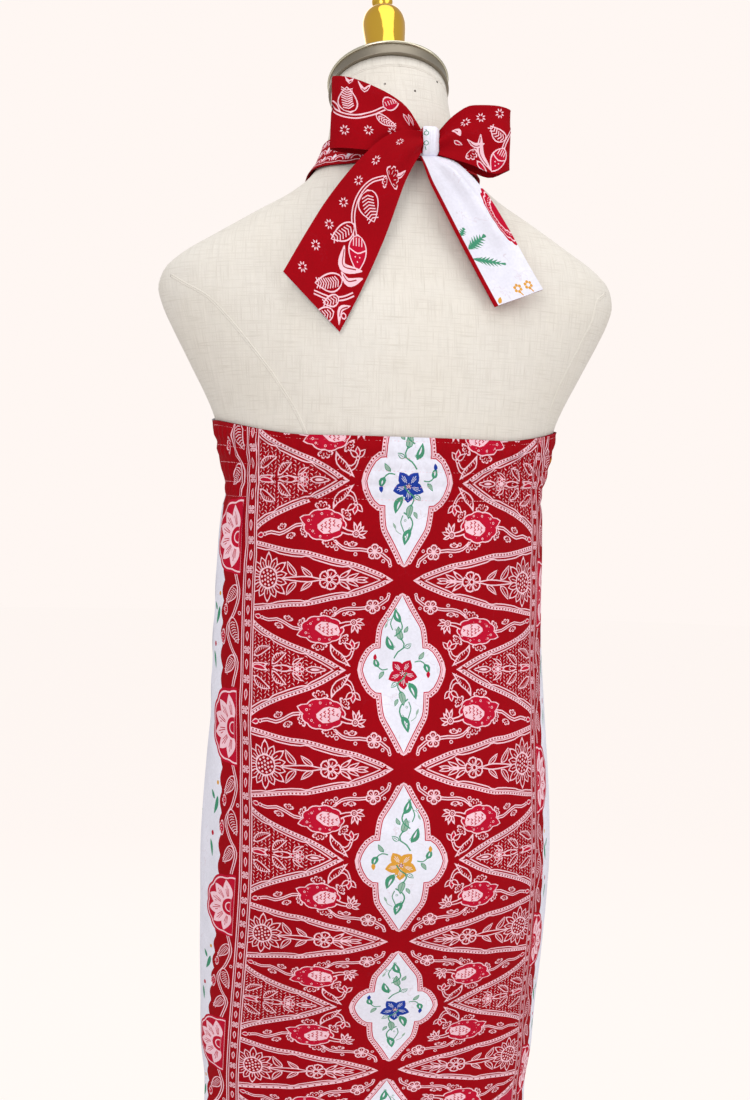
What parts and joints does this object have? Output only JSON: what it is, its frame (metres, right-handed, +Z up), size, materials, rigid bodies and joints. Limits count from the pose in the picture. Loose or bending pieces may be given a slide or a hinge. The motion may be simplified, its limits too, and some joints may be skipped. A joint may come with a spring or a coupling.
{
  "type": "batik midi dress on a dress form",
  "caption": "Backless halter midi dress in red and white batik, tied in a bow at the nape, on a limbless linen dress form with a neck cap, finial, pole and round base.",
  "frame": {"origin": "on the floor under the middle of the stand's base", "axes": "+Z up, -Y out of the wearer's back, the side with the bow, +X to the wearer's right, seen from the back on the right"},
  "size_m": [0.402, 0.36, 1.607],
  "materials": {
    "linen": "plain woven linen, matte",
    "red_batik": "red batik cotton with a white wax-resist print, matte",
    "white_batik": "white batik cotton with coloured sprigs, matte",
    "gold": "polished gold-coloured metal",
    "cap_metal": "grey metal with a bright rim"
  },
  "bodies": {
    "root": {"dress_form": "linen", "neck_cap": "cap_metal", "finial": "gold", "stand_pole": "gold", "stand_base": "gold", "back_panel": "red_batik", "front_panel": "white_batik", "strap_left": "red_batik", "strap_right": "red_batik", "bow_knot": "white_batik", "loop_left": "red_batik", "loop_right": "red_batik", "tail_left": "red_batik", "tail_right": "white_batik"}
  },
  "joints": []
}
